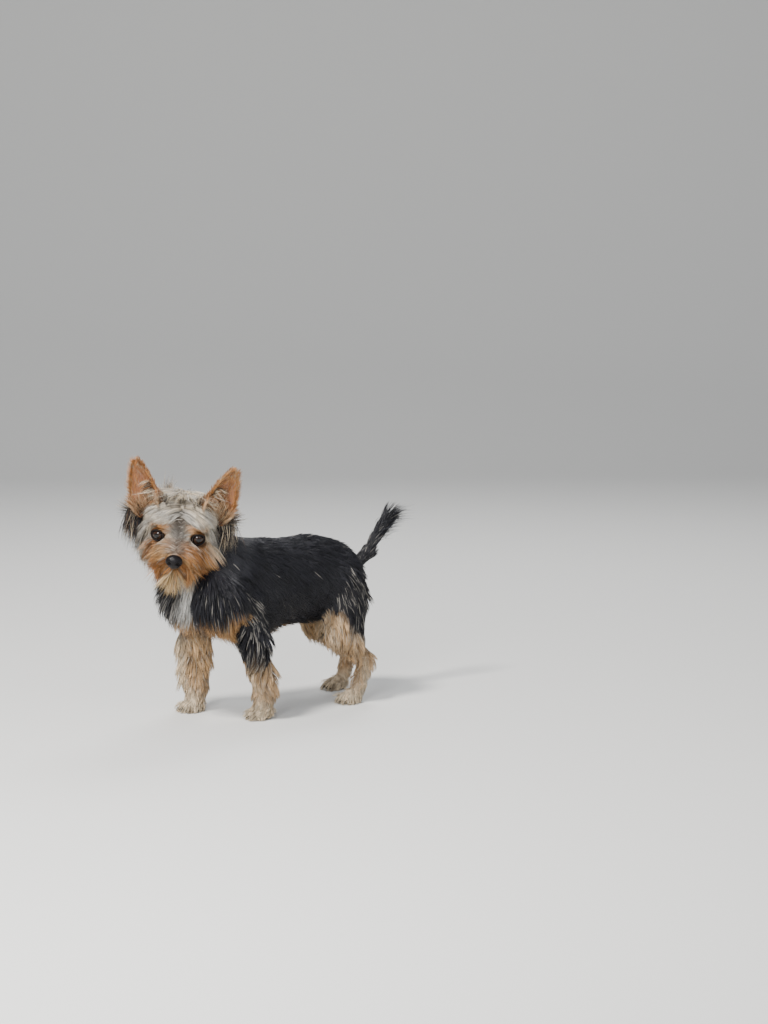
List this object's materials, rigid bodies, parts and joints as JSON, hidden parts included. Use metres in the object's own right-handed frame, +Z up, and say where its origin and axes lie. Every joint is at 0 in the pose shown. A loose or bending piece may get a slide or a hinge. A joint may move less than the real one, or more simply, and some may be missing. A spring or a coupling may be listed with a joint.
{
  "type": "standing yorkshire terrier, life-size display model",
  "caption": "Small terrier with a short-clipped coat, erect ears, bearded muzzle and raised tail, standing on its paws with the head turned aside.",
  "frame": {"origin": "on the floor, under the middle of the box of the whole dog", "axes": "-Y the way the body faces, +X the dog's left side, +Z up"},
  "size_m": [0.1604, 0.4132, 0.3145],
  "materials": {
    "coat_black": "blue-black hair with a few silver hairs",
    "coat_head": "silver-cream and tan long hair",
    "coat_tan": "tan hair with cream tips",
    "coat_ear": "short orange-tan hair",
    "nose_leather": "moist pebbled black leather",
    "eye": "clear glossy dark brown glass eye"
  },
  "bodies": {
    "root": {"head": "coat_head", "nose": "nose_leather", "eye_left": "eye", "ear_left": "coat_ear", "eye_right": "eye", "ear_right": "coat_ear", "torso": "coat_black", "neck": "coat_black", "tail": "coat_black", "leg_front_left": "coat_tan", "paw_front_left": "coat_tan", "leg_front_right": "coat_tan", "paw_front_right": "coat_tan", "thigh_hind_left": "coat_tan", "shank_hind_left": "coat_tan", "paw_hind_left": "coat_tan", "thigh_hind_right": "coat_tan", "shank_hind_right": "coat_tan", "paw_hind_right": "coat_tan"}
  },
  "joints": []
}
